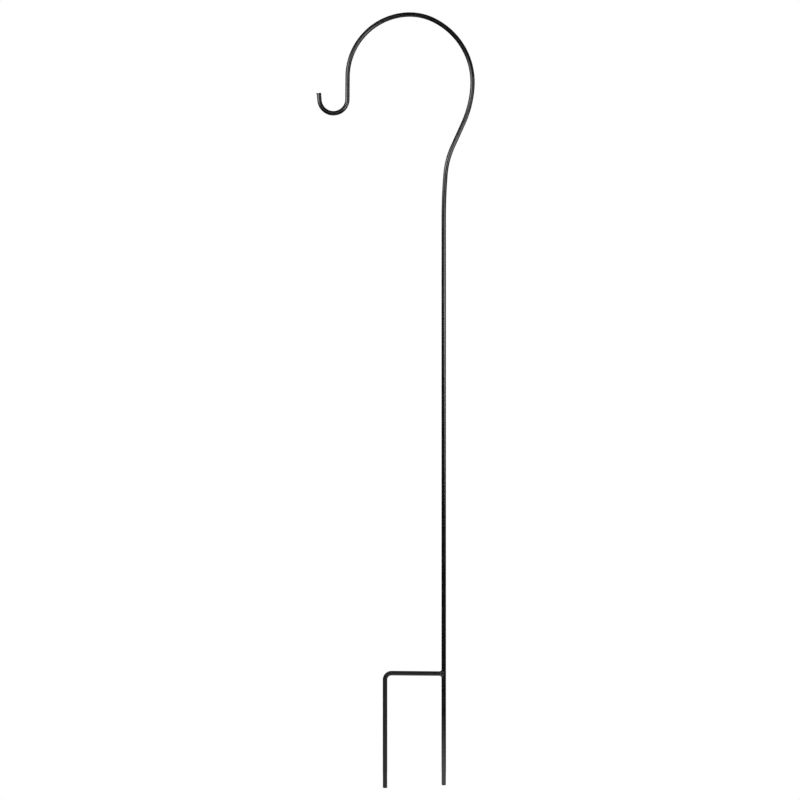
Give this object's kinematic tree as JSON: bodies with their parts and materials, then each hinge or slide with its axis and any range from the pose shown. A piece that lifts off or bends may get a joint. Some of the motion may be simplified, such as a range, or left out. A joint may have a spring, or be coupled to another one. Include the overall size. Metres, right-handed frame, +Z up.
{
  "type": "shepherds hook",
  "caption": "Slim garden pole of round black rod with a wide crook, a small outward hook at its end and a welded two-prong ground fork with a step bar.",
  "frame": {"origin": "on the pole's axis at the soil line, level with the underside of the step bar where it meets the pole", "axes": "+Z up along the pole, -X from the pole to the second prong and the small hook, Y across the flat of the crook"},
  "size_m": [0.333, 0.0119, 1.6266],
  "materials": {
    "black_powder_coat": "semi-gloss black powder coat on steel rod",
    "coated_weld": "semi-gloss black powder coat over a rippled weld"
  },
  "bodies": {
    "root": {"hook_pole": "black_powder_coat", "step_prong": "black_powder_coat", "weld_bead": "coated_weld"}
  },
  "joints": []
}
